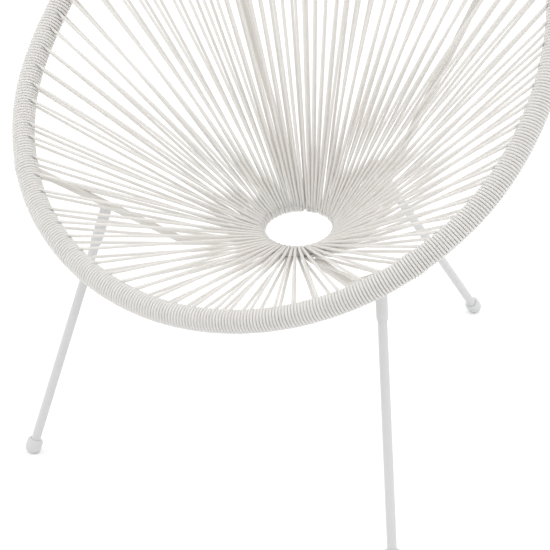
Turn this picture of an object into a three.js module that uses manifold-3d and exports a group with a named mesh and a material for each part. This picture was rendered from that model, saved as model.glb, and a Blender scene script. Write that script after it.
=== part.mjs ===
// A string chair for the patio: a wound hoop of steel tube, a small ring under the seat, cords laced
// between them, bent rods that join the two, and three splayed legs that screw into sockets.
// The chair faces -Y, Z is up, and left and right are the sitter's own. Lengths are millimetres.
import * as THREE from "three";
import { mergeVertices } from "three/addons/utils/BufferGeometryUtils.js";
import Module from "manifold-3d";

const wasm = await Module();
wasm.setup();

// Overall shape of the hoop, measured over its winding across and to its centre line elsewhere.
const chairWidth = 740;
const hoopFrontHeight = 305;
const hoopTopHeight = 854;
const hoopFrontReach = 301;
const hoopBackReach = 153;
// Half of the hoop from the front's middle to the top's middle, at even steps along it.
// Each row is a share of the half width, of the depth and of the rise.
const hoopShares = [
  [0, 0, 0],
  [0.393, 0.043, 0.035],
  [0.727, 0.168, 0.134],
  [0.942, 0.364, 0.281],
  [1, 0.594, 0.453],
  [0.927, 0.807, 0.639],
  [0.733, 0.957, 0.828],
  [0.397, 1.002, 0.961],
  [0, 1, 1],
];

// Steel and cord sizes.
const hoopTubeDiameter = 22;
const hoopTubeWall = 1.5;
const ventDiameter = 4;
const rodDiameter = 10;
const cordDiameter = 4;
const clearance = 0.3;
const overrun = 6;

// The small ring that the cords turn round, tilted up at its back and down at the sitter's left.
const ringDiameter = 106;
const ringHeight = 308;
const ringTilt = THREE.MathUtils.degToRad(12.4);
const ringLean = THREE.MathUtils.degToRad(4);

// Lacing: each loop is one strand from the top of the hoop's winding and, half a loop further on,
// one from its underside. A cord is a length of the winding with the strands that leave it.
const loopCount = 80;
const cordCount = 40;
const cordStartShare = 2.25;
const strandBite = 2;
const strandAngle = THREE.MathUtils.degToRad(45);

// Rods from the ring to the hoop, under the strands. Their ends are shares of the way round the ring
// and the hoop from the front's middle, at the places of strands on the sitting side.
const frontRodShares = { ring: 0.15625, hoop: 0.14375 };
const frontRodBend = { across: 129, forward: 80, height: 291 };
const backRodShares = { ring: 0.44375, hoop: 0.38125 };
const backRodElbow = { across: 25, back: 66, height: 311 };
const backRodKnee = { across: 88, back: 95, height: 388 };
const rodDrop = 9;
const rodSetback = 4;
const bendRadius = 22;

// Legs, their sockets and the screws inside.
const legDiameter = 12;
const frontLegShare = 0.485;
const frontFoot = { across: 277, forward: 220 };
const rearLegTop = { back: 191, height: 333 };
const rearFootBack = 483;
const rearArmJoint = 40;
const socketDiameter = 15;
const socketLength = 56;
const socketHead = 20;
const socketChamfer = 1.2;
const socketTaper = 5;
const socketLip = 0.6;
const studDiameter = 6;
const studLength = 26;

// Moulded foot: a cap square to its leg, rounded at both ends, and cut flat where it stands on the
// lower edge.
const footDiameter = 20.8;
const footSideHeight = 10;
const footEdge = 3;
const footEndEdge = 6;
const footCut = 1;
const footBoreDepth = 15;

const tubeRadius = hoopTubeDiameter / 2;
const rodRadius = rodDiameter / 2;
const cordRadius = cordDiameter / 2;
const windingRadius = tubeRadius + cordDiameter;
const ringRadius = ringDiameter / 2;
const legRadius = legDiameter / 2;
const socketRadius = socketDiameter / 2;
const studRadius = studDiameter / 2;
const footRadius = footDiameter / 2;
const footTop = footSideHeight + footEdge;
const footEndRadius = footRadius - footEndEdge;

const hoopSides = 8;
const boreSides = 6;
const ringSides = 8;
const ringStepsPerCord = 1;
const rodSides = 10;
const cordSides = 3;
const bendSteps = 5;
const turnedSides = 16;
const endSteps = 4;
const edgeSteps = 2;

const steel = new THREE.MeshStandardMaterial({ color: 0xd8d6d2, roughness: 0.45, metalness: 0.1 });
const cordPlastic = new THREE.MeshStandardMaterial({ color: 0xd6d3ce, roughness: 0.5, metalness: 0 });
const footPlastic = new THREE.MeshStandardMaterial({ color: 0xd7d7d7, roughness: 0.55, metalness: 0 });
const platedSteel = new THREE.MeshStandardMaterial({ color: 0xb9bcc0, roughness: 0.35, metalness: 0.9 });

const up = new THREE.Vector3(0, 0, 1);
const backwards = new THREE.Vector3(0, 1, 0);
const ringCentre = new THREE.Vector3(0, 0, ringHeight);

function vector(x, y, z) {
  return new THREE.Vector3(x, y, z);
}

function along(from, direction, distance) {
  return from.clone().addScaledVector(direction, distance);
}

function towards(from, to) {
  return to.clone().sub(from).normalize();
}

// The hoop's centre line, closed and the same on both sides.
const halfWidth = chairWidth / 2 - windingRadius;
const halfHoop = hoopShares.map(([across, depth, rise]) =>
  vector(
    across * halfWidth,
    depth * (hoopFrontReach + hoopBackReach) - hoopFrontReach,
    rise * (hoopTopHeight - hoopFrontHeight) + hoopFrontHeight,
  ),
);
const otherHalf = halfHoop.slice(1, -1).reverse();
const hoopCurve = new THREE.CatmullRomCurve3(
  [...halfHoop, ...otherHalf.map((p) => vector(-p.x, p.y, p.z))],
  true,
  "catmullrom",
);
hoopCurve.arcLengthDivisions = loopCount * 20;

// A place on the hoop, counted in loops from the front's middle towards the sitter's left.
function hoopPlace(loops) {
  const share = (((loops / loopCount) % 1) + 1) % 1;
  const centre = hoopCurve.getPointAt(share);
  const tangent = hoopCurve.getTangentAt(share);
  const outward = centre.clone().sub(ringCentre);
  outward.addScaledVector(tangent, -outward.dot(tangent)).normalize();
  return { centre, tangent, outward, normal: tangent.clone().cross(outward) };
}

// The matching place on the ring.
function ringPlace(loops) {
  const turn = (loops / loopCount) * 2 * Math.PI;
  const outward = vector(
    Math.sin(turn),
    -Math.cos(turn) * Math.cos(ringTilt),
    -Math.cos(turn) * Math.sin(ringTilt),
  );
  const tangent = vector(
    Math.cos(turn),
    Math.sin(turn) * Math.cos(ringTilt),
    Math.sin(turn) * Math.sin(ringTilt),
  );
  outward.applyAxisAngle(backwards, ringLean);
  tangent.applyAxisAngle(backwards, ringLean);
  return {
    centre: along(ringCentre, outward, ringRadius),
    tangent,
    outward,
    normal: tangent.clone().cross(outward),
  };
}

// A tube of flat-sided section through places that each hold a centre and two directions.
function loft(places, radius, sides, closed) {
  const positions = [];
  for (const place of places) {
    for (let side = 0; side < sides; side += 1) {
      const turn = (side / sides) * 2 * Math.PI;
      const point = along(place.centre, place.outward, radius * Math.cos(turn));
      point.addScaledVector(place.normal, radius * Math.sin(turn));
      positions.push(point.x, point.y, point.z);
    }
  }
  const index = [];
  const rings = places.length;
  for (let ring = 0; ring < (closed ? rings : rings - 1); ring += 1) {
    const here = ring * sides;
    const next = ((ring + 1) % rings) * sides;
    for (let side = 0; side < sides; side += 1) {
      const after = (side + 1) % sides;
      index.push(here + side, here + after, next + after);
      index.push(here + side, next + after, next + side);
    }
  }
  if (!closed) {
    const last = (rings - 1) * sides;
    for (let side = 1; side < sides - 1; side += 1) {
      index.push(0, side + 1, side);
      index.push(last, last + side, last + side + 1);
    }
  }
  const geometry = new THREE.BufferGeometry();
  geometry.setAttribute("position", new THREE.Float32BufferAttribute(positions, 3));
  geometry.setIndex(index);
  return geometry;
}

// Draws the two ends of a row of places in along their tangents.
function shorten(places, distance) {
  const row = places.map((place) => ({ ...place }));
  const end = row[row.length - 1];
  row[0].centre = along(row[0].centre, row[0].tangent, distance);
  end.centre = along(end.centre, end.tangent, -distance);
  return row;
}

function solid(geometry) {
  const plain = new THREE.BufferGeometry();
  plain.setAttribute("position", geometry.getAttribute("position"));
  plain.setIndex(geometry.index);
  const merged = mergeVertices(plain, clearance / 1000);
  const corners = merged.index.array;
  const triVerts = [];
  for (let i = 0; i < corners.length; i += 3) {
    const [a, b, c] = corners.slice(i, i + 3);
    if (a !== b && b !== c && c !== a) triVerts.push(a, b, c);
  }
  const mesh = new wasm.Mesh({
    numProp: 3,
    vertProperties: new Float32Array(merged.attributes.position.array),
    triVerts: new Uint32Array(triVerts),
  });
  return new wasm.Manifold(mesh);
}

function joined(solids) {
  return solids.reduce((whole, piece) => whole.add(piece));
}

// What is left of a piece once room is made for others, without the crumbs and the needless
// corners on flat faces that the cuts leave.
function cutBy(piece, rooms) {
  const bodies = rooms.reduce((rest, room) => rest.subtract(room), piece).decompose();
  const main = bodies.reduce((best, body) => (body.volume() > best.volume() ? body : best));
  return main.asOriginal().simplify(clearance / 15);
}

function meshOf(name, body, material) {
  const { vertProperties, triVerts } = body.getMesh();
  const geometry = new THREE.BufferGeometry();
  geometry.setAttribute("position", new THREE.Float32BufferAttribute(vertProperties, 3));
  geometry.setIndex(new THREE.Uint32BufferAttribute(triVerts, 1));
  geometry.computeVertexNormals();
  const mesh = new THREE.Mesh(geometry, material);
  mesh.name = name;
  return mesh;
}

// A straight round or flat-sided bar between two points.
function bar(from, to, radius, sides) {
  const geometry = new THREE.CylinderGeometry(radius, radius, from.distanceTo(to), sides);
  const turn = new THREE.Quaternion().setFromUnitVectors(vector(0, 1, 0), towards(from, to));
  const middle = from.clone().lerp(to, 1 / 2);
  return solid(geometry.applyMatrix4(new THREE.Matrix4().compose(middle, turn, vector(1, 1, 1))));
}

// A turned shape whose profile is given as [radius, distance] from a base point along an axis.
function turned(base, axis, profile) {
  const points = profile.map(([radius, height]) => new THREE.Vector2(radius, height));
  const geometry = new THREE.LatheGeometry(points, turnedSides);
  const turn = new THREE.Quaternion().setFromUnitVectors(vector(0, 1, 0), axis);
  return solid(geometry.applyMatrix4(new THREE.Matrix4().compose(base, turn, vector(1, 1, 1))));
}

// The corner points of a bent rod become a path with round bends.
function bentPath(corners) {
  const points = [corners[0]];
  for (let i = 1; i < corners.length - 1; i += 1) {
    const before = towards(corners[i], corners[i - 1]);
    const after = towards(corners[i], corners[i + 1]);
    const halfTurn = (Math.PI - before.angleTo(after)) / 2;
    const room = Math.min(corners[i].distanceTo(corners[i - 1]), corners[i].distanceTo(corners[i + 1]));
    const reach = Math.min(bendRadius * Math.tan(halfTurn), room / 2);
    const start = along(corners[i], before, reach);
    const end = along(corners[i], after, reach);
    const bend = new THREE.QuadraticBezierCurve3(start, corners[i], end);
    points.push(...bend.getPoints(bendSteps));
  }
  points.push(corners[corners.length - 1]);
  return points;
}

// A rod along a path, with its section carried along without twist.
function rod(corners, radius) {
  const points = bentPath(corners);
  const places = [];
  let outward = up;
  points.forEach((centre, i) => {
    const tangent = towards(points[Math.max(i - 1, 0)], points[Math.min(i + 1, points.length - 1)]);
    outward = outward.clone().addScaledVector(tangent, -outward.dot(tangent)).normalize();
    places.push({ centre, tangent, outward, normal: tangent.clone().cross(outward) });
  });
  return solid(loft(places, radius, rodSides, false));
}

// Hoop: a closed tube with a small vent hole at its front, under the winding.
const hoopPlaces = [];
for (let loop = 0; loop < loopCount; loop += 1) hoopPlaces.push(hoopPlace(loop + cordStartShare));
const hoopSolid = solid(loft(hoopPlaces, tubeRadius, hoopSides, true));
const hoopBore = solid(loft(hoopPlaces, tubeRadius - hoopTubeWall, boreSides, true));
const ventPlace = hoopPlace(cordStartShare);
const vent = bar(
  ventPlace.centre,
  along(ventPlace.centre, ventPlace.outward, tubeRadius + overrun),
  ventDiameter / 2,
  boreSides,
);
const hoopTube = cutBy(hoopSolid, [hoopBore, vent]);
const hoopRoom = solid(loft(hoopPlaces, tubeRadius + clearance, hoopSides, true));

// Ring: a closed round rod.
const ringSteps = cordCount * ringStepsPerCord;
const ringPlaces = [];
for (let step = 0; step < ringSteps; step += 1) {
  ringPlaces.push(ringPlace((step / ringSteps) * loopCount + cordStartShare));
}
const ringSolid = solid(loft(ringPlaces, rodRadius, ringSides, true));
const ringRoom = solid(loft(ringPlaces, rodRadius + clearance, ringSides, true));

// Rods on the sitter's left, from under the ring to the hoop's centre line. Those on the right are
// their mirror images, but start where the leaning ring is on that side.
function underRing(loops) {
  const place = ringPlace(loops);
  return along(along(place.centre, place.outward, rodSetback), up, -rodDrop);
}
function mirrored(point) {
  return vector(-point.x, point.y, point.z);
}
function otherSide([, ...corners], ringShare) {
  return [underRing((1 - ringShare) * loopCount), ...corners.map(mirrored)];
}
const frontRod = [
  underRing(frontRodShares.ring * loopCount),
  vector(frontRodBend.across, -frontRodBend.forward, frontRodBend.height),
  hoopPlace(frontRodShares.hoop * loopCount).centre,
];
const backRod = [
  underRing(backRodShares.ring * loopCount),
  vector(backRodElbow.across, backRodElbow.back, backRodElbow.height),
  vector(backRodKnee.across, backRodKnee.back, backRodKnee.height),
  hoopPlace(backRodShares.hoop * loopCount).centre,
];

// Legs, each from the top of its socket to the middle of its foot's rounded end, at the height where
// the foot stands on its lower edge.
function legEndBelow(top, across, back) {
  const lean = towards(top, vector(across, back, footEndEdge)).cross(up).length();
  return vector(across, back, footEndRadius * lean + footEndEdge - footCut);
}
const frontLegTop = frontRod[1].clone().lerp(frontRod[2], frontLegShare);
const frontLegEnd = legEndBelow(frontLegTop, frontFoot.across, -frontFoot.forward);
const rearTop = vector(0, rearLegTop.back, rearLegTop.height);
const rearEnd = legEndBelow(rearTop, 0, rearFootBack);
const legLines = {
  front_left: [frontLegTop, frontLegEnd],
  front_right: [mirrored(frontLegTop), mirrored(frontLegEnd)],
  rear: [rearTop, rearEnd],
};
const rearArm = [underRing(loopCount / 2), along(rearTop, towards(rearTop, rearEnd), rearArmJoint)];

const rodRoutes = {
  rod_front_left: frontRod,
  rod_front_right: otherSide(frontRod, frontRodShares.ring),
  rod_back_left: backRod,
  rod_back_right: otherSide(backRod, backRodShares.ring),
  rear_arm: rearArm,
};
const rodRooms = Object.values(rodRoutes).map((corners) => rod(corners, rodRadius + clearance));

// A strand from the winding on the hoop to the ring. Those at half loops lie on the sitting side.
// The others lie underneath, and meet the ring at its side, clear of the rods.
function strand(loops, radius) {
  const hoop = hoopPlace(loops);
  const ring = ringPlace(loops);
  const inward = towards(hoop.centre, ring.centre);
  const sitting = !Number.isInteger(loops);
  const hoopSide = hoop.tangent.clone().cross(inward).normalize().multiplyScalar(sitting ? 1 : -1);
  const ringSide = ring.tangent.clone().cross(inward).normalize();
  const rise = sitting ? Math.sin(strandAngle) : 0;
  const leave = inward.clone().multiplyScalar(Math.cos(strandAngle));
  leave.addScaledVector(hoopSide, Math.sin(strandAngle)).normalize();
  const arrive = ringSide.multiplyScalar(rise).addScaledVector(ring.outward, Math.cos(strandAngle));
  const from = along(hoop.centre, leave, tubeRadius + cordRadius);
  const to = along(ring.centre, arrive.normalize(), rodRadius + cordRadius);
  const line = towards(from, to);
  return bar(along(from, line, -strandBite), along(to, line, strandBite), radius, cordSides);
}

// A cord: its length of the winding on the hoop, its strands and its turns round the ring in one
// body, with room for the steel that it wraps, for the rods and for the strands beside it.
function seatCord(number) {
  const loopsPerCord = loopCount / cordCount;
  const first = number * loopsPerCord + cordStartShare;
  const onHoop = [];
  const onRing = [];
  for (let loop = 0; loop <= loopsPerCord; loop += 1) onHoop.push(hoopPlace(first + loop));
  for (let step = 0; step <= ringStepsPerCord; step += 1) {
    onRing.push(ringPlace(first + (step / ringStepsPerCord) * loopsPerCord));
  }
  const gap = clearance / 2;
  const pieces = [
    solid(loft(shorten(onHoop, gap), windingRadius, hoopSides, false)),
    solid(loft(shorten(onRing, gap), rodRadius + cordDiameter, ringSides, false)),
  ];
  for (let half = 0; half < 2 * loopsPerCord; half += 1) {
    pieces.push(strand(first + 1 / 4 + half / 2, cordRadius));
  }
  const beside = [first - 1 / 4, first + loopsPerCord + 1 / 4];
  const strandRooms = beside.map((loops) => strand(loops, cordRadius + clearance));
  return cutBy(joined(pieces), [hoopRoom, ringRoom, ...rodRooms, ...strandRooms]);
}

// Pieces of one leg, as turned profiles of [radius, distance] down the leg from its top.
const studTop = socketHead - studLength / 2;
const studEnd = socketHead + studLength / 2;
const studRoomRadius = studRadius + clearance;
const legRoomRadius = legRadius + clearance;

function socketOf(top, down) {
  return turned(top, down, [
    [0, 0],
    [socketRadius - socketChamfer, 0],
    [socketRadius, socketChamfer],
    [socketRadius, socketLength - socketTaper],
    [legRoomRadius + socketLip, socketLength],
    [legRoomRadius, socketLength],
    [legRoomRadius, socketHead],
    [studRoomRadius, socketHead],
    [studRoomRadius, studTop - clearance],
    [0, studTop - clearance],
  ]);
}

function studOf(top, down) {
  return turned(top, down, [
    [0, studTop],
    [studRadius, studTop],
    [studRadius, studEnd],
    [0, studEnd],
  ]);
}

function legOf(top, down, length) {
  const legTop = socketHead + clearance;
  const legEnd = length - footTop + footBoreDepth - clearance;
  return turned(top, down, [
    [0, studEnd + clearance],
    [studRoomRadius, studEnd + clearance],
    [studRoomRadius, legTop],
    [legRadius, legTop],
    [legRadius, legEnd],
    [0, legEnd],
  ]);
}

// The foot is turned about the leg, up from the middle of its rounded end, then cut flat.
function footOf(end, rise) {
  const profile = [[0, -footEndEdge]];
  for (let step = 0; step <= endSteps; step += 1) {
    const turn = ((step / endSteps - 1) * Math.PI) / 2;
    profile.push([footEndRadius + footEndEdge * Math.cos(turn), footEndEdge * Math.sin(turn)]);
  }
  for (let step = 0; step <= edgeSteps; step += 1) {
    const turn = ((step / edgeSteps) * Math.PI) / 2;
    const inset = footEdge * (1 - Math.cos(turn));
    profile.push([footRadius - inset, footSideHeight + footEdge * Math.sin(turn)]);
  }
  profile.push(
    [legRoomRadius, footTop],
    [legRoomRadius, footTop - footBoreDepth],
    [0, footTop - footBoreDepth],
  );
  const ground = new THREE.BoxGeometry(2 * footDiameter, 2 * footDiameter, footDiameter);
  ground.translate(end.x, end.y, -footRadius);
  return turned(end, rise, profile).subtract(solid(ground));
}

const group = new THREE.Group();
group.add(meshOf("hoop_tube", hoopTube, steel));
group.add(meshOf("seat_ring", ringSolid, steel));

const rearSocketRoom = bar(
  rearTop,
  along(rearTop, towards(rearTop, rearEnd), socketLength),
  socketRadius + clearance,
  turnedSides,
);
for (const [name, corners] of Object.entries(rodRoutes)) {
  const body = cutBy(rod(corners, rodRadius), [hoopRoom, ringRoom, rearSocketRoom]);
  group.add(meshOf(name, body, steel));
}

for (const [name, [top, end]] of Object.entries(legLines)) {
  const down = towards(top, end);
  const frontRods = name === "rear" ? [] : [rodRooms[0], rodRooms[1]];
  group.add(meshOf(`socket_${name}`, cutBy(socketOf(top, down), frontRods), steel));
  group.add(meshOf(`stud_${name}`, studOf(top, down), platedSteel));
  group.add(meshOf(`leg_${name}`, legOf(top, down, top.distanceTo(end)), steel));
  group.add(meshOf(`foot_${name}`, footOf(end, down.clone().negate()), footPlastic));
}

for (let number = 0; number < cordCount; number += 1) {
  const name = `seat_cord_${String(number + 1).padStart(2, "0")}`;
  group.add(meshOf(name, seatCord(number), cordPlastic));
}

// The origin lies under the middle of the whole chair, on the ground.
const box = new THREE.Box3().setFromObject(group);
group.position.y = -(box.min.y + box.max.y) / 2;
export default group;
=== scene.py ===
import bisect
import math
import random

import bmesh
import bpy
from mathutils import Matrix, Vector


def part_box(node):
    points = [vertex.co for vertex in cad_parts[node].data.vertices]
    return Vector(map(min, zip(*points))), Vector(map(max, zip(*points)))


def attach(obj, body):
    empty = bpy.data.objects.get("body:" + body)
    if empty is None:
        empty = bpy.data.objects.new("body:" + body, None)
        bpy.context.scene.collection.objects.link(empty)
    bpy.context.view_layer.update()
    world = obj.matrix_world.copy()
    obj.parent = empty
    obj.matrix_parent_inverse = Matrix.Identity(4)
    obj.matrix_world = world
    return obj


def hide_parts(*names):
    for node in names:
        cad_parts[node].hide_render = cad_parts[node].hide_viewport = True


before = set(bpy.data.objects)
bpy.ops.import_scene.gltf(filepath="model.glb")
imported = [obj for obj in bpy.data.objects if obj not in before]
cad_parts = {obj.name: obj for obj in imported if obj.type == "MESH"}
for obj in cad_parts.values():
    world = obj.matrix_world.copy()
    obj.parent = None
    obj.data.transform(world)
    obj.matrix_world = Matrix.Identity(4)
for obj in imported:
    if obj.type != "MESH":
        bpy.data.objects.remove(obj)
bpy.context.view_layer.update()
ring_low, ring_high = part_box("seat_ring")
RING_MIDDLE = (ring_low + ring_high) / 2

# Hoop: half of its centre line from the front's middle to the top's middle, as shares of the half
# width, the depth and the rise.
HOOP_SHARES = (
    (0, 0, 0),
    (0.393, 0.043, 0.035),
    (0.727, 0.168, 0.134),
    (0.942, 0.364, 0.281),
    (1, 0.594, 0.453),
    (0.927, 0.807, 0.639),
    (0.733, 0.957, 0.828),
    (0.397, 1.002, 0.961),
    (0, 1, 1),
)
HOOP_HALF_WIDTH = 355
HOOP_FRONT = -301
HOOP_BACK = 153
HOOP_FRONT_HEIGHT = 305
HOOP_TOP_HEIGHT = 854
HOOP_TUBE_RADIUS = 11
HOOP_STEPS = 120

# Ring, tilted up at its back and down at the sitter's left.
RING_CENTRE = Vector((0, 0, 308))
RING_RADIUS = 53
RING_TILT = math.radians(12.4)
RING_LEAN = Matrix.Rotation(math.radians(4), 3, "Y")
RING_STEPS = 120
RING_SIDES = 20

# Cord and lacing. A loop is a strand from the top of the winding and one from its underside.
CORD_RADIUS = 2
LOOPS = 80
LOOPS_PER_PIECE = 2
FIRST_LOOP = 2
TURNS_PER_LOOP = 7
DEGREES_PER_LOOP = 360 * TURNS_PER_LOOP
CORD_SIDES = 9

# Steps of a cord's path: in each turn of the winding, in a strand, from the one to the other, round
# the ring and from a strand to the ring.
STEPS_PER_TURN = 20
STRAND_STEPS = 9
HOOP_BLEND_STEPS = 6
RING_TURN_STEPS = 13
RING_BLEND_STEPS = 4

# Places around hoop and ring in degrees, where 0 is the inner side.
SITTERS_SIDE = 90
UNDERSIDE = 270

# Where the winding first faces the sitter, in loops, and how many turns off each loop's place its
# strand meets it.
WINDING_START = 0.5
STRAND_TURN = -2
# From one loop of the hoop to another, the whole turns between a strand that leaves and the next
# that arrives. They set how far each V of two strands is open.
SPARE_TURNS = ((0, 1, 3), (1, 3, 4), (3, 40, 1), (40, 69, 2), (69, 74, 4), (74, 80, 3))

# Strays of the strands: whole turns on the hoop, loops on the ring, and the bow in between in mm.
TURN_STRAYS = (-1, 0, 0, 0, 1)
RING_STRAY = 0.06
BOW = 1
KEPT_BESIDE_ROD = 1.3

# Where a strand arrives, the turns beside the place draw together by this share of a turn, less and
# less over these turns.
CLOSING_SHARE = 0.45
CLOSING_TURNS = 3

# The winding swells a little where a rod ends in the hoop, and its turns pass beside the rod. The
# swell is in mm, the reaches are in loops, and the share is one of the cord's radius.
SWELL = 1
SWELL_REACH = 0.42
PASSING_REACH = 0.5
PASSING_SHARE = 0.9

# Degrees of a turn from the winding's end to a strand, clear lengths at a strand's two ends in mm,
# and how far above the winding it meets the hoop.
LEAD = 15
CLEAR_OF_RING = 6
CLEAR_OF_HOOP = 17
STRAND_LIFT = 0.3

# On the ring: every second cord's raised height in mm, the degrees of a turn kept free before and
# after its bend, and the loops that the cords keep from the middle of a rod below, far into the net.
RAISED_TURN = 0.9
TURN_BEGIN = 14
TURN_FINISH = 8
PARTED_AT_ROD = 1.3
PARTED_REACH = 4
# The last contact with the ring's underside beside a rod, in degrees, and its rise for each loop.
CONTACT_AT_ROD = 186
CONTACT_RISE = 30

# Rods on the sitter's left: where they leave the ring and meet the hoop, in loops, and their bends.
FRONT_ROD = {"ring": 12.5, "hoop": 11.5, "bends": ((129, -80, 291),)}
BACK_ROD = {"ring": 35.5, "hoop": 30.5, "bends": ((25, 66, 311), (88, 95, 388))}
ROD_RADIUS = 5
ROD_SIDES = 28
ROD_DROP = 9
ROD_SETBACK = 8
ROD_SEAT = 1
BEND_RADIUS = 22
REAR_ARM_ON_RING = LOOPS / 2
RODS_ON_RING = (
    FRONT_ROD["ring"],
    BACK_ROD["ring"],
    REAR_ARM_ON_RING,
    LOOPS - BACK_ROD["ring"],
    LOOPS - FRONT_ROD["ring"],
)

# Legs, sockets and feet.
LEG_RADIUS = 6
FRONT_LEG_SHARE = 0.485
FRONT_FOOT = (277, -220)
REAR_LEG_TOP = (0, 191, 333)
REAR_FOOT = (0, 483)
REAR_ARM_JOINT = 40
LEG_IN_SOCKET = 30
SOCKET_RADIUS = 7.5
SOCKET_LENGTH = 56
SOCKET_EDGE = 1.2
SOCKET_TAPER = 5
# Rows of a socket's shoulder, as thinning and distance before the taper, and of its open end, as
# wall around the leg and distance back from the end.
SOCKET_SHOULDER = ((0, 0.6), (0.05, 0))
SOCKET_MOUTH = ((1.0, 0.7), (0.7, 0.2), (0.3, 0), (0.2, 1.5))
FOOT_RADIUS = 10.4
FOOT_SIDE = 10
FOOT_EDGE = 3
FOOT_END_EDGE = 6
FOOT_END_DOME = 0.3
FOOT_CUT = 1
# Rows of a foot's collar, as wall around the leg and distance back from its end.
FOOT_COLLAR = ((0.15, 1.2), (0.3, 0))
ROUND_SIDES = 40
EDGE_STEPS = 5
FOOT_END_STEPS = 10
SHARP_ANGLE = math.radians(40)

# Camera: where it stands, how it is turned in degrees, and its focal length in pixels of the picture.
CAMERA_PLACE = (1898.1, -3022.5, 1851.7)
CAMERA_YAW = 32.626
CAMERA_PITCH = 24.281
CAMERA_ROLL = -0.06
FOCAL_PIXELS = 2995.4
PICTURE_PIXELS = 550
SENSOR_WIDTH = 36

# Studio, in metres and watts: each softbox's place, its side and its power.
FLOOR_REACH = 9
LAMPS_AIM = (0, 0, 0.45)
SOFTBOXES = {
    "softbox_left": ((-2.6, -1.6, 2.2), 2.2, 11),
    "softbox_right": ((2.8, 0.6, 2.0), 2.2, 8),
    "softbox_above": ((0.2, 0.4, 3.4), 2.6, 12),
}
AMBIENT = 0.93
FLOOR_LIFT = 0.12

MM_PER_METRE = 1000
chance = random.Random(80)


def placed(point):
    """The point in the frame of the solids, in metres."""
    return (point - RING_CENTRE) / MM_PER_METRE + RING_MIDDLE


def towards(start, end):
    return (end - start).normalized()


def between(start, leave, end, arrive, t):
    """A point at the share t of a smooth curve that leaves one place and arrives at another."""
    return (
        (2 * t**3 - 3 * t**2 + 1) * start
        + (t**3 - 2 * t**2 + t) * leave
        + (3 * t**2 - 2 * t**3) * end
        + (t**3 - t**2) * arrive
    )


# Small helpers for node trees.


def add(tree, kind, inputs=None, **settings):
    """Adds a node with its settings, and gives its inputs values or links."""
    node = tree.nodes.new(kind)
    for name, value in settings.items():
        setattr(node, name, value)
    for name, value in (inputs or {}).items():
        if isinstance(value, bpy.types.NodeSocket):
            tree.links.new(value, node.inputs[name])
        else:
            node.inputs[name].default_value = value
    return node


def colour(code):
    """An sRGB hex colour as linear red, green, blue and alpha."""
    parts = [int(code[i : i + 2], 16) / 255 for i in (1, 3, 5)]
    return [p / 12.92 if p <= 0.04045 else ((p + 0.055) / 1.055) ** 2.4 for p in parts] + [1]


def per_metre(millimetres):
    """The texture scale that makes one feature this many millimetres across."""
    return MM_PER_METRE / millimetres


# Materials.


def mottled_surface(name, light, dark, patch_mm, grain_mm, grain_depth_mm, roughness, spread):
    """A material of two close tones in soft patches, with a fine grain that bends the light."""
    material = bpy.data.materials.new(name)
    material.use_nodes = True
    tree = material.node_tree
    tree.nodes.clear()
    place = add(tree, "ShaderNodeTexCoord").outputs["Object"]
    patches = add(
        tree,
        "ShaderNodeTexNoise",
        {"Vector": place, "Scale": per_metre(patch_mm), "Detail": 3.0, "Roughness": 0.5},
    )
    tone = add(
        tree,
        "ShaderNodeMix",
        {0: patches.outputs["Fac"], 6: colour(dark), 7: colour(light)},
        data_type="RGBA",
    )
    sheen = add(
        tree,
        "ShaderNodeMapRange",
        {
            "Value": patches.outputs["Fac"],
            "From Min": 0.3,
            "From Max": 0.7,
            "To Min": roughness - spread,
            "To Max": roughness + spread,
        },
    )
    grain = add(
        tree,
        "ShaderNodeTexNoise",
        {"Vector": place, "Scale": per_metre(grain_mm), "Detail": 2.0, "Roughness": 0.55},
    )
    relief = add(
        tree,
        "ShaderNodeBump",
        {
            "Strength": 1.0,
            "Distance": grain_depth_mm / MM_PER_METRE,
            "Height": grain.outputs["Fac"],
        },
    )
    shader = add(
        tree,
        "ShaderNodeBsdfPrincipled",
        {
            "Base Color": tone.outputs[2],
            "Roughness": sheen.outputs["Result"],
            "Normal": relief.outputs["Normal"],
        },
    )
    add(tree, "ShaderNodeOutputMaterial", {"Surface": shader.outputs["BSDF"]})
    return material, shader


def powder_coat(name, light, dark):
    # Polyester powder, sprayed and baked: a satin skin with the slight orange peel of melted grains.
    material, shader = mottled_surface(
        name,
        light,
        dark,
        patch_mm=70,
        grain_mm=0.9,
        grain_depth_mm=0.02,
        roughness=0.36,
        spread=0.04,
    )
    shader.inputs["IOR"].default_value = 1.5
    return material


def pvc_cord():
    # Extruded soft PVC: an even ivory colour that light soaks into, a soft gloss, and long faint
    # ripples left by the die.
    material, shader = mottled_surface(
        "extruded_pvc_cord",
        "#E7E4E0",
        "#E1DEDA",
        patch_mm=45,
        grain_mm=0.7,
        grain_depth_mm=0.012,
        roughness=0.4,
        spread=0.05,
    )
    ripple_mm, ripple_depth_mm = 9, 0.06
    tree = material.node_tree
    shader.inputs["IOR"].default_value = 1.53
    shader.inputs["Subsurface Weight"].default_value = 1
    shader.inputs["Subsurface Radius"].default_value = (1, 1, 1)
    shader.inputs["Subsurface Scale"].default_value = 0.005
    distance = add(
        tree, "ShaderNodeAttribute", attribute_type="GEOMETRY", attribute_name="distance_along"
    )
    ripple_scale = add(
        tree,
        "ShaderNodeMath",
        {0: distance.outputs["Fac"], 1: per_metre(ripple_mm)},
        operation="MULTIPLY",
    )
    ripples = add(
        tree,
        "ShaderNodeTexNoise",
        {"W": ripple_scale.outputs["Value"], "Scale": 1.0, "Detail": 2.0},
        noise_dimensions="1D",
    )
    relief = add(
        tree,
        "ShaderNodeBump",
        {
            "Strength": 1.0,
            "Distance": ripple_depth_mm / MM_PER_METRE,
            "Height": ripples.outputs["Fac"],
            "Normal": shader.inputs["Normal"].links[0].from_socket,
        },
    )
    tree.links.new(relief.outputs["Normal"], shader.inputs["Normal"])
    return material


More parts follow.
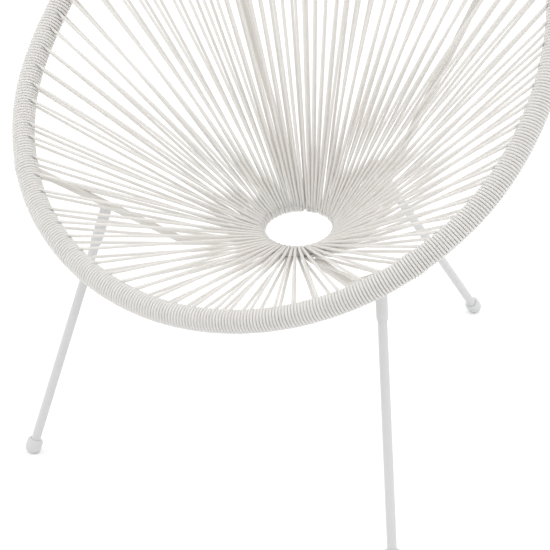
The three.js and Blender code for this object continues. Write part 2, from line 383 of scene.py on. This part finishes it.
def moulded_foot():
    # Injection-moulded polypropylene: cooler and duller than the coat, with the mould's fine spark
    # grain.
    material, shader = mottled_surface(
        "moulded_polypropylene",
        "#E0E1E1",
        "#DADBDB",
        patch_mm=14,
        grain_mm=0.45,
        grain_depth_mm=0.03,
        roughness=0.5,
        spread=0.04,
    )
    shader.inputs["IOR"].default_value = 1.49
    return material


def zinc_plate():
    # Zinc-plated thread inside the sockets: bright grey metal with a faint blue cast.
    material, shader = mottled_surface(
        "zinc_plated_steel",
        "#C6CACF",
        "#B2B6BB",
        patch_mm=5,
        grain_mm=0.6,
        grain_depth_mm=0.02,
        roughness=0.32,
        spread=0.06,
    )
    shader.inputs["Metallic"].default_value = 1
    return material


# The rods' coat is a warm ivory like the cords, and the legs' coat is more neutral. The rods' coat is
# also painted lighter than the legs' coat, as painted light standing in for the light that soaks
# through the net onto the ring, rods, rear arm and hoop tube under it.
ROD_COAT_PAINTED_LIGHTER = powder_coat("powder_coated_steel_warm_painted_lighter", "#E9E6E1", "#E3E0DB")
LEG_COAT = powder_coat("powder_coated_steel_satin", "#DFDFDF", "#D9D9D9")
CORD = pvc_cord()
FOOT = moulded_foot()
ZINC = zinc_plate()

# Places on the hoop and the ring.


def hoop_table():
    """Close points of the hoop's centre line and the distance to each along it."""
    half = [
        Vector(
            (
                across * HOOP_HALF_WIDTH,
                HOOP_FRONT + depth * (HOOP_BACK - HOOP_FRONT),
                HOOP_FRONT_HEIGHT + rise * (HOOP_TOP_HEIGHT - HOOP_FRONT_HEIGHT),
            )
        )
        for across, depth, rise in HOOP_SHARES
    ]
    knots = half + [Vector((-p.x, p.y, p.z)) for p in reversed(half[1:-1])]
    count = len(knots)
    points = []
    for i in range(count):
        before, start, end, after = (knots[(i + step) % count] for step in (-1, 0, 1, 2))
        leave = (end - before) / 2
        arrive = (after - start) / 2
        for step in range(HOOP_STEPS):
            points.append(between(start, leave, end, arrive, step / HOOP_STEPS))
    points.append(points[0].copy())
    distances = [0.0]
    for here, there in zip(points, points[1:]):
        distances.append(distances[-1] + (there - here).length)
    return points, distances


HOOP_POINTS, HOOP_DISTANCES = hoop_table()


def hoop_point(loops):
    wanted = (loops / LOOPS % 1) * HOOP_DISTANCES[-1]
    i = min(bisect.bisect_right(HOOP_DISTANCES, wanted), len(HOOP_DISTANCES) - 1)
    share = (wanted - HOOP_DISTANCES[i - 1]) / (HOOP_DISTANCES[i] - HOOP_DISTANCES[i - 1])
    return HOOP_POINTS[i - 1].lerp(HOOP_POINTS[i], share)


class Place:
    """A point of a bent tube, with the ways along it, in towards the ring's hole and up to the
    sitter."""

    def __init__(self, centre, along, outward):
        self.centre = centre
        self.along = along
        self.inward = -outward
        self.sitting = outward.cross(along)

    def around(self, degrees, distance):
        """A point around the tube: 0 is its inner side, 90 the sitter's side, 270 the underside."""
        turn = math.radians(degrees)
        way = self.inward * math.cos(turn) + self.sitting * math.sin(turn)
        return self.centre + way * distance


def hoop_place(loops):
    near = 0.1
    centre = hoop_point(loops)
    along = towards(hoop_point(loops - near), hoop_point(loops + near))
    outward = centre - RING_CENTRE
    outward = (outward - along * outward.dot(along)).normalized()
    return Place(centre, along, outward)


def ring_place(loops):
    turn = loops / LOOPS * 2 * math.pi
    outward = Vector(
        (
            math.sin(turn),
            -math.cos(turn) * math.cos(RING_TILT),
            -math.cos(turn) * math.sin(RING_TILT),
        )
    )
    along = Vector(
        (
            math.cos(turn),
            math.sin(turn) * math.cos(RING_TILT),
            math.sin(turn) * math.sin(RING_TILT),
        )
    )
    outward.rotate(RING_LEAN)
    along.rotate(RING_LEAN)
    return Place(RING_CENTRE + outward * RING_RADIUS, along, outward)


def away_round(loops, other):
    """How many loops one place is past another, the short way round."""
    return (loops - other + LOOPS / 2) % LOOPS - LOOPS / 2


# Routes of the rods.


def mirrored(points):
    return [Vector((-p.x, p.y, p.z)) for p in points]


def under_ring(loops):
    place = ring_place(loops)
    return place.centre - place.inward * ROD_SETBACK - Vector((0, 0, ROD_DROP))


def rod_corners(rod):
    return [under_ring(rod["ring"]), *map(Vector, rod["bends"]), hoop_point(rod["hoop"])]


def other_side(corners, rod):
    return [under_ring(LOOPS - rod["ring"]), *mirrored(corners[1:])]


def rounded_path(corners, steps=12):
    """The corners of a bent rod as a path with round bends."""
    path = [corners[0]]
    for before, corner, after in zip(corners, corners[1:], corners[2:]):
        back, on = towards(corner, before), towards(corner, after)
        half_turn = (math.pi - back.angle(on)) / 2
        room = min((before - corner).length, (after - corner).length)
        reach = min(BEND_RADIUS * math.tan(half_turn), room / 2)
        start, end = corner + back * reach, corner + on * reach
        for step in range(steps + 1):
            t = step / steps
            path.append(start * (1 - t) ** 2 + corner * 2 * t * (1 - t) + end * t**2)
    path.append(corners[-1])
    return path


front_left_corners = rod_corners(FRONT_ROD)
back_left_corners = rod_corners(BACK_ROD)
ROD_CORNERS = {
    "front_left": front_left_corners,
    "front_right": other_side(front_left_corners, FRONT_ROD),
    "back_left": back_left_corners,
    "back_right": other_side(back_left_corners, BACK_ROD),
}
RODS_ON_HOOP = {
    FRONT_ROD["hoop"]: ROD_CORNERS["front_left"],
    BACK_ROD["hoop"]: ROD_CORNERS["back_left"],
    LOOPS - BACK_ROD["hoop"]: ROD_CORNERS["back_right"],
    LOOPS - FRONT_ROD["hoop"]: ROD_CORNERS["front_right"],
}

# Routes of the cords.


def strays():
    """Where the strands stray from their even places. Strands beside a rod keep to theirs on the
    hoop."""
    made = []
    for loop in range(LOOPS):
        near = min(abs(away_round(loop, s)) for s in RODS_ON_HOOP) < KEPT_BESIDE_ROD
        turns = 0 if near else chance.choice(TURN_STRAYS)
        bows = [Vector([chance.uniform(-BOW, BOW) for _ in range(3)]) for _ in range(2)]
        ring = chance.uniform(-RING_STRAY, RING_STRAY)
        made.append({"turns": turns, "ring": ring, "bows": bows})
    return made


STRAYS = strays()


def blend(start, start_way, end, end_way, steps):
    """Points between two places, leaving and arriving in the ways given. The first one is left out."""
    reach = (end - start).length
    leave, arrive = reach * start_way, reach * end_way
    return [between(start, leave, end, arrive, step / steps) for step in range(1, steps + 1)]


def loops_of(turned):
    """The place on the hoop, in loops, that the winding has reached."""
    return WINDING_START + (turned - SITTERS_SIDE) / DEGREES_PER_LOOP


def crossing(loop):
    """Where a strand reaches the hoop's top, in degrees turned."""
    turns = STRAND_TURN + STRAYS[loop % LOOPS]["turns"]
    return SITTERS_SIDE + DEGREES_PER_LOOP * loop + 360 * turns


def spare(loop):
    """Degrees of winding between a strand that leaves and the next that arrives."""
    return sum(360 * turns for low, high, turns in SPARE_TURNS if low <= loop % LOOPS < high)


def closed_up(turned):
    """How far the winding shifts on its inner side, in loops, to close the place where a strand
    arrives."""
    facing = max(0, math.cos(math.radians(turned)))
    nearest = round(loops_of(turned) - WINDING_START - STRAND_TURN / TURNS_PER_LOOP)
    middles = (crossing(nearest + step) - SITTERS_SIDE for step in (-1, 0, 1))
    away = min(((turned - middle) / 360 for middle in middles), key=abs)
    nearness = min(1, max(0, 1 - (abs(away) - 0.5) / CLOSING_TURNS))
    return -math.copysign(CLOSING_SHARE / TURNS_PER_LOOP * facing * nearness, away)


def wound_point(turned):
    """A point of the winding on the hoop, by the degrees that it has turned since the first loop."""
    loops = loops_of(turned) + closed_up(turned)
    place = hoop_place(loops)
    gap_to_rod, station = min((abs(away_round(loops, s)), s) for s in RODS_ON_HOOP)
    swell = SWELL * max(0, 1 - (gap_to_rod / SWELL_REACH) ** 2)
    point = place.around(turned, HOOP_TUBE_RADIUS + CORD_RADIUS + swell)
    if gap_to_rod < PASSING_REACH:
        knee, joint = RODS_ON_HOOP[station][-2:]
        way = towards(joint, knee)
        beside = point - joint
        if beside.dot(way) > 0:
            across = beside - way * beside.dot(way)
            shift = across.dot(place.along)
            other = (across - place.along * shift).length
            wanted = ROD_RADIUS + CORD_RADIUS * PASSING_SHARE
            if across.length < wanted:
                side = 1 if shift > 0 else -1
                clear = math.sqrt(wanted**2 - min(other, wanted) ** 2)
                point += place.along * (side * clear - shift)
    return point


def wound_way(turned):
    near = 2
    return towards(wound_point(turned - near), wound_point(turned + near))


def winding(start, end):
    """Points of the winding between two turns, the last one left out."""
    steps = max(2, round((end - start) / 360 * STEPS_PER_TURN))
    return [wound_point(start + (end - start) * step / steps) for step in range(steps)]


def ring_height_of_turn(loop, degrees):
    """How far a cord's middle lies from the ring's. Every second one lies higher on the inner side."""
    raised = RAISED_TURN if loop % 2 else 0
    return ROD_RADIUS + CORD_RADIUS + raised * max(0, math.cos(math.radians(degrees)))


def beside_rods(loops, degrees):
    """Cords on the ring's underside are parted by the rods that are welded to it."""
    weight = max(0, -math.sin(math.radians(degrees)))
    for station in RODS_ON_RING:
        past = away_round(loops, station)
        if abs(past) < PARTED_REACH:
            squeeze = (PARTED_REACH - PARTED_AT_ROD) / PARTED_REACH
            parted = math.copysign(PARTED_AT_ROD + abs(past) * squeeze, past)
            return loops + weight * (parted - past)
    return loops


def ring_point(loop, loops, degrees):
    place = ring_place(beside_rods(loops, degrees))
    return place.around(degrees, ring_height_of_turn(loop, degrees))


class Strand:
    """A stretch of cord between the winding on the hoop and the ring."""

    def __init__(self, loop, over):
        place = loop if over else loop + 1
        stray = STRAYS[place % LOOPS]
        self.loop = loop
        self.bow = stray["bows"][over]
        self.turned = crossing(place) - (0 if over else 180 + spare(place))
        hoop_loops = loops_of(self.turned)
        self.ring_loops = hoop_loops + stray["ring"]
        side = SITTERS_SIDE if over else UNDERSIDE
        height = HOOP_TUBE_RADIUS + CORD_RADIUS + STRAND_LIFT
        self.hoop_end = hoop_place(hoop_loops).around(side, height)
        ring = ring_place(self.ring_loops)
        line = self.hoop_end - ring.centre
        rise = math.degrees(math.atan2(line.dot(ring.sitting), -line.dot(ring.inward)))
        self.contact = (360 + SITTERS_SIDE if over else UNDERSIDE) - rise
        if not over:
            near = min(abs(away_round(self.ring_loops, s)) for s in RODS_ON_RING)
            beyond = max(0, near - PARTED_AT_ROD)
            self.contact = min(self.contact, CONTACT_AT_ROD + beyond * CONTACT_RISE)
        self.ring_end = ring_point(self.loop, self.ring_loops, self.contact)
        self.way = towards(self.ring_end, self.hoop_end)

    def straight(self):
        """Points from beside the ring to beside the winding."""
        start = self.ring_end + self.way * CLEAR_OF_RING
        end = self.hoop_end - self.way * CLEAR_OF_HOOP
        points = []
        for step in range(STRAND_STEPS + 1):
            t = step / STRAND_STEPS
            points.append(start.lerp(end, t) + self.bow * math.sin(math.pi * t))
        return points


def laced(first, count):
    """One cord's route: up to the hoop on the sitter's side, round it until the next strand's place,
    back from its underside, round the ring, and so on."""
    over = Strand(first, True)
    route = [ring_point(first - 1, over.ring_loops, over.contact - TURN_FINISH)]
    for loop in range(first, first + count):
        under = Strand(loop, False)
        after = Strand(loop + 1, True)
        up = over.straight()
        down = under.straight()[::-1]
        onto = over.turned + LEAD
        off = under.turned - LEAD
        begin, finish = wound_point(onto), wound_point(off)
        route += [
            *up,
            *blend(up[-1], over.way, begin, wound_way(onto), HOOP_BLEND_STEPS)[:-1],
            *winding(onto, off),
            finish,
            *blend(finish, wound_way(off), down[0], -under.way, HOOP_BLEND_STEPS),
            *down[1:],
            *ring_turn(under, after, down[-1]),
        ]
        over = after
    return route


def ring_turn(under, over, last):
    """From the underside of the ring round its inner side to its top."""
    points = []
    begin, finish = under.contact + TURN_BEGIN, over.contact - TURN_FINISH
    for step in range(RING_TURN_STEPS + 1):
        t = step / RING_TURN_STEPS
        degrees = begin + (finish - begin) * t
        loops = under.ring_loops + (over.ring_loops - under.ring_loops) * t
        points.append(ring_point(under.loop, loops, degrees))
    onto = towards(points[0], points[1])
    return blend(last, -under.way, points[0], onto, RING_BLEND_STEPS)[:-1] + points


def spare_winding(first, count):
    """The turns between one strand and the next, with both ends on the hoop's underside."""
    routes = []
    for after in range(first + 1, first + count + 1):
        end = crossing(after) - 180
        routes.append(winding(end - spare(after), end))
    return routes


# Pieces.


def path_tree():
    """A round section carried along a path of edges: cords, rods and the ring."""
    tree = bpy.data.node_groups.new("round_section_along_path", "GeometryNodeTree")
    for name, kind in (
        ("Path", "NodeSocketGeometry"),
        ("Section radius", "NodeSocketFloat"),
        ("Section sides", "NodeSocketInt"),
        ("Finish", "NodeSocketMaterial"),
    ):
        tree.interface.new_socket(name, in_out="INPUT", socket_type=kind)
    tree.interface.new_socket("Piece", in_out="OUTPUT", socket_type="NodeSocketGeometry")
    given = add(tree, "NodeGroupInput").outputs
    path = add(tree, "GeometryNodeMeshToCurve", {"Mesh": given["Path"]})
    distance = add(tree, "GeometryNodeSplineParameter")
    marked = add(
        tree,
        "GeometryNodeStoreNamedAttribute",
        {
            "Geometry": path.outputs["Curve"],
            "Name": "distance_along",
            "Value": distance.outputs["Length"],
        },
        data_type="FLOAT",
        domain="POINT",
    )
    section = add(
        tree,
        "GeometryNodeCurvePrimitiveCircle",
        {"Resolution": given["Section sides"], "Radius": given["Section radius"]},
    )
    skin = add(
        tree,
        "GeometryNodeCurveToMesh",
        {
            "Curve": marked.outputs["Geometry"],
            "Profile Curve": section.outputs["Curve"],
            "Fill Caps": True,
        },
    )
    smooth = add(tree, "GeometryNodeSetShadeSmooth", {"Geometry": skin.outputs["Mesh"]})
    real = add(tree, "GeometryNodeRealizeInstances", {"Geometry": smooth.outputs["Geometry"]})
    finished = add(
        tree,
        "GeometryNodeSetMaterial",
        {"Geometry": real.outputs["Geometry"], "Material": given["Finish"]},
    )
    add(tree, "NodeGroupOutput", {"Piece": finished.outputs["Geometry"]})
    return tree


PATH_TREE = path_tree()


def section_mesh(paths, radius, sides, finish, closed=False):
    """The plain mesh of a round section along each path."""
    points, edges = [], []
    for path in paths:
        first = len(points)
        points += [placed(p) for p in path]
        edges += [(i, i + 1) for i in range(first, len(points) - 1)]
        if closed:
            edges.append((len(points) - 1, first))
    lines = bpy.data.meshes.new("path")
    lines.from_pydata(points, edges, [])
    carrier = bpy.data.objects.new("path", lines)
    bpy.context.collection.objects.link(carrier)
    modifier = carrier.modifiers.new("section", "NODES")
    modifier.node_group = PATH_TREE
    values = {
        "Section radius": radius / MM_PER_METRE,
        "Section sides": sides,
        "Finish": finish,
    }
    for socket in PATH_TREE.interface.items_tree:
        if socket.in_out == "INPUT" and socket.name in values:
            modifier[socket.identifier] = values[socket.name]
    graph = bpy.context.evaluated_depsgraph_get()
    mesh = bpy.data.meshes.new_from_object(
        carrier.evaluated_get(graph), preserve_all_data_layers=True, depsgraph=graph
    )
    bpy.data.objects.remove(carrier)
    bpy.data.meshes.remove(lines)
    return mesh


def piece(name, mesh, slot, *nodes):
    """Puts a finished mesh in the scene, in place of its solids."""
    made = bpy.data.objects.new(name, mesh)
    bpy.context.collection.objects.link(made)
    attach(made, "root")
    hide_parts(*nodes)


def turned_mesh(base, axis, profile, finish, floor=False):
    """A turned shape from rows of radius and distance along the axis. With floor it is cut at the
    ground."""
    side = axis.orthogonal().normalized()
    other = axis.cross(side)
    shape = bmesh.new()
    rings = []
    for radius, distance in profile:
        middle = base + axis * distance
        if radius == 0:
            rings.append([shape.verts.new(placed(middle))])
            continue
        ring = []
        for step in range(ROUND_SIDES):
            turn = 2 * math.pi * step / ROUND_SIDES
            way = side * math.cos(turn) + other * math.sin(turn)
            ring.append(shape.verts.new(placed(middle + way * radius)))
        rings.append(ring)
    for here, there in zip(rings, rings[1:]):
        for i in range(ROUND_SIDES):
            j = (i + 1) % ROUND_SIDES
            if len(here) == 1:
                shape.faces.new((here[0], there[j], there[i]))
            elif len(there) == 1:
                shape.faces.new((here[i], here[j], there[0]))
            else:
                shape.faces.new((here[i], here[j], there[j], there[i]))
    if floor:
        everything = shape.verts[:] + shape.edges[:] + shape.faces[:]
        bmesh.ops.bisect_plane(
            shape, geom=everything, plane_co=(0, 0, 0), plane_no=(0, 0, 1), clear_inner=True
        )
        open_edges = [edge for edge in shape.edges if edge.is_boundary]
        bmesh.ops.contextual_create(shape, geom=open_edges)
    bmesh.ops.recalc_face_normals(shape, faces=shape.faces)
    for face in shape.faces:
        face.smooth = True
    mesh = bpy.data.meshes.new("turned")
    shape.to_mesh(mesh)
    shape.free()
    mesh.materials.append(finish)
    mesh.set_sharp_from_angle(angle=SHARP_ANGLE)
    return mesh


def rounded_edge(radius, distance, size):
    """Profile rows of a rounded outer edge, from the face at this distance to the side."""
    rows = []
    for step in range(EDGE_STEPS + 1):
        turn = math.pi / 2 * step / EDGE_STEPS
        rows.append((radius - size * (1 - math.sin(turn)), distance + size * (1 - math.cos(turn))))
    return rows


# Cords, one piece for each cord of the solids.
for number in range(LOOPS // LOOPS_PER_PIECE):
    first_loop = number * LOOPS_PER_PIECE + FIRST_LOOP
    routes = [laced(first_loop, LOOPS_PER_PIECE), *spare_winding(first_loop, LOOPS_PER_PIECE)]
    mesh = section_mesh(routes, CORD_RADIUS, CORD_SIDES, CORD)
    name = f"cord_{number + 1:02d}"
    piece(name, mesh, "cord_extruded_pvc", f"seat_cord_{number + 1:02d}")

# Ring and rods.
ring_path = [ring_place(step * LOOPS / RING_STEPS).centre for step in range(RING_STEPS)]
piece(
    "ring_under_cords",
    section_mesh([ring_path], ROD_RADIUS, RING_SIDES, ROD_COAT_PAINTED_LIGHTER, closed=True),
    "frame_powder_coat",
    "seat_ring",
)
for side, corners in ROD_CORNERS.items():
    path = rounded_path(corners)
    path[-1] = path[-1] - towards(path[-2], path[-1]) * (HOOP_TUBE_RADIUS - ROD_SEAT)
    piece(
        f"bent_rod_{side}",
        section_mesh([path], ROD_RADIUS, ROD_SIDES, ROD_COAT_PAINTED_LIGHTER),
        "frame_powder_coat",
        f"rod_{side}",
    )

# Legs with their sockets and feet.


def leg_line(top, foot):
    """A leg's top, and the middle of its foot's rounded end, which stands on its lower edge."""
    lean = towards(top, Vector((*foot, FOOT_END_EDGE))).cross(Vector((0, 0, 1))).length
    height = (FOOT_RADIUS - FOOT_END_EDGE) * lean + FOOT_END_EDGE - FOOT_CUT
    return [top, Vector((*foot, height))]


def socket_rows():
    """From the flat top down the side, over the taper and back into the mouth around the leg."""
    taper = SOCKET_LENGTH - SOCKET_TAPER
    rows = [(0, 0), *rounded_edge(SOCKET_RADIUS, 0, SOCKET_EDGE)]
    rows += [(SOCKET_RADIUS - thinner, taper - before) for thinner, before in SOCKET_SHOULDER]
    rows += [(LEG_RADIUS + wall, SOCKET_LENGTH - back) for wall, back in SOCKET_MOUTH]
    return [*rows, (0, rows[-1][1])]


def leg_rows(length):
    """From inside the socket to inside the foot."""
    start, end = SOCKET_LENGTH - LEG_IN_SOCKET, length - FOOT_SIDE
    return [(0, start), (LEG_RADIUS, start), (LEG_RADIUS, end), (0, end)]


def foot_rows():
    """From the collar around the leg down to the end, by height over the middle of the rounded end."""
    top = FOOT_SIDE + FOOT_EDGE
    collar = [(LEG_RADIUS + wall, top - back) for wall, back in FOOT_COLLAR]
    edge = [(r, 2 * top - d) for r, d in rounded_edge(FOOT_RADIUS, top, FOOT_EDGE)]
    end = []
    for step in range(FOOT_END_STEPS + 1):
        turn = math.pi / 2 * step / FOOT_END_STEPS
        radius = FOOT_RADIUS - FOOT_END_EDGE * (1 - math.cos(turn))
        end.append((radius, -FOOT_END_EDGE * math.sin(turn)))
    return [(0, collar[0][1]), *collar, *edge, *end, (0, -FOOT_END_EDGE - FOOT_END_DOME)]


front_top = front_left_corners[1].lerp(front_left_corners[2], FRONT_LEG_SHARE)
LEG_LINES = {
    "front_left": leg_line(front_top, FRONT_FOOT),
    "front_right": mirrored(leg_line(front_top, FRONT_FOOT)),
    "rear": leg_line(Vector(REAR_LEG_TOP), REAR_FOOT),
}
for side, (top, end) in LEG_LINES.items():
    down = towards(top, end)
    piece(
        f"turned_socket_{side}",
        turned_mesh(top, down, socket_rows(), LEG_COAT),
        "frame_powder_coat",
        f"socket_{side}",
    )
    piece(
        f"straight_leg_{side}",
        turned_mesh(top, down, leg_rows((end - top).length), LEG_COAT),
        "frame_powder_coat",
        f"leg_{side}",
    )
    piece(
        f"moulded_foot_{side}",
        turned_mesh(end, -down, foot_rows(), FOOT, floor=True),
        "foot_moulded_plastic",
        f"foot_{side}",
    )

# The arm that carries the rear leg.
rear_top, rear_end = LEG_LINES["rear"]
arm_start = under_ring(REAR_ARM_ON_RING)
arm_end = rear_top + towards(rear_top, rear_end) * REAR_ARM_JOINT
piece(
    "straight_rear_arm",
    section_mesh([[arm_start, arm_end]], ROD_RADIUS, ROD_SIDES, ROD_COAT_PAINTED_LIGHTER),
    "frame_powder_coat",
    "rear_arm",
)

# Solids that stay as they are, under the cords and in the sockets, get the same finishes.
for name, finish in (
    ("hoop_tube", ROD_COAT_PAINTED_LIGHTER),
    ("stud_front_left", ZINC),
    ("stud_front_right", ZINC),
    ("stud_rear", ZINC),
):
    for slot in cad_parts[name].material_slots:
        slot.material = finish

# Floor, lamps and camera.


def seen_directly(tree):
    """One for rays from the camera, and for those that gloss and glass send on, else nothing."""
    rays = add(tree, "ShaderNodeLightPath").outputs
    seen = add(
        tree,
        "ShaderNodeMath",
        {0: rays["Is Camera Ray"], 1: rays["Is Glossy Ray"]},
        operation="MAXIMUM",
    )
    both = add(
        tree,
        "ShaderNodeMath",
        {0: seen.outputs["Value"], 1: rays["Is Transmission Ray"]},
        operation="MAXIMUM",
    )
    return both.outputs["Value"]


def floor_material():
    # White studio board: matt, and lifted to white where it is looked at, so that only shadows show.
    material = bpy.data.materials.new("white_studio_board")
    material.use_nodes = True
    tree = material.node_tree
    tree.nodes.clear()
    board = add(tree, "ShaderNodeBsdfDiffuse", {"Color": colour("#F2F2F2")})
    shown = add(tree, "ShaderNodeBsdfDiffuse", {"Color": (1, 1, 1, 1)})
    lift = add(tree, "ShaderNodeEmission", {"Color": (1, 1, 1, 1), "Strength": FLOOR_LIFT})
    lifted = add(
        tree,
        "ShaderNodeAddShader",
        {0: shown.outputs["BSDF"], 1: lift.outputs["Emission"]},
    )
    mix = add(
        tree,
        "ShaderNodeMixShader",
        {0: seen_directly(tree), 1: board.outputs["BSDF"], 2: lifted.outputs["Shader"]},
    )
    add(tree, "ShaderNodeOutputMaterial", {"Surface": mix.outputs["Shader"]})
    return material


def make_floor():
    mesh = bpy.data.meshes.new("floor")
    reach = FLOOR_REACH
    corners = [(-reach, -reach, 0), (reach, -reach, 0), (reach, reach, 0), (-reach, reach, 0)]
    mesh.from_pydata(corners, [], [(0, 1, 2, 3)])
    mesh.materials.append(floor_material())
    floor = bpy.data.objects.new("floor", mesh)
    bpy.context.collection.objects.link(floor)


def make_world():
    world = bpy.data.worlds.new("studio")
    bpy.context.scene.world = world
    world.use_nodes = True
    tree = world.node_tree
    tree.nodes.clear()
    strength = add(
        tree,
        "ShaderNodeMapRange",
        {"Value": seen_directly(tree), "To Min": AMBIENT, "To Max": 1.0},
    )
    sky = add(
        tree,
        "ShaderNodeBackground",
        {"Color": (1, 1, 1, 1), "Strength": strength.outputs["Result"]},
    )
    add(tree, "ShaderNodeOutputWorld", {"Surface": sky.outputs["Background"]})


def make_lamp(name, place, size, power):
    data = bpy.data.lights.new(name, "AREA")
    data.shape = "SQUARE"
    data.size = size
    data.energy = power
    lamp = bpy.data.objects.new(name, data)
    lamp.location = place
    aim = Vector(LAMPS_AIM) - Vector(place)
    lamp.rotation_euler = aim.to_track_quat("-Z", "Y").to_euler()
    bpy.context.collection.objects.link(lamp)


def make_camera():
    yaw, pitch, roll = map(math.radians, (CAMERA_YAW, CAMERA_PITCH, CAMERA_ROLL))
    ahead = Vector(
        (-math.sin(yaw) * math.cos(pitch), math.cos(yaw) * math.cos(pitch), -math.sin(pitch))
    )
    level = Vector((math.cos(yaw), math.sin(yaw), 0))
    down = ahead.cross(level)
    right = level * math.cos(roll) + down * math.sin(roll)
    down = down * math.cos(roll) - level * math.sin(roll)
    data = bpy.data.cameras.new("camera")
    data.sensor_width = SENSOR_WIDTH
    data.lens = FOCAL_PIXELS / PICTURE_PIXELS * SENSOR_WIDTH
    data.clip_start = 0.1
    data.clip_end = 60
    camera = bpy.data.objects.new("camera", data)
    turn = Matrix((right, -down, -ahead)).transposed().to_4x4()
    camera.matrix_world = Matrix.Translation(placed(Vector(CAMERA_PLACE))) @ turn
    bpy.context.collection.objects.link(camera)
    bpy.context.scene.camera = camera


make_camera()
make_floor()
make_world()
for name, (place, size, power) in SOFTBOXES.items():
    make_lamp(name, place, size, power)

bpy.context.scene.view_settings.view_transform = "Standard"
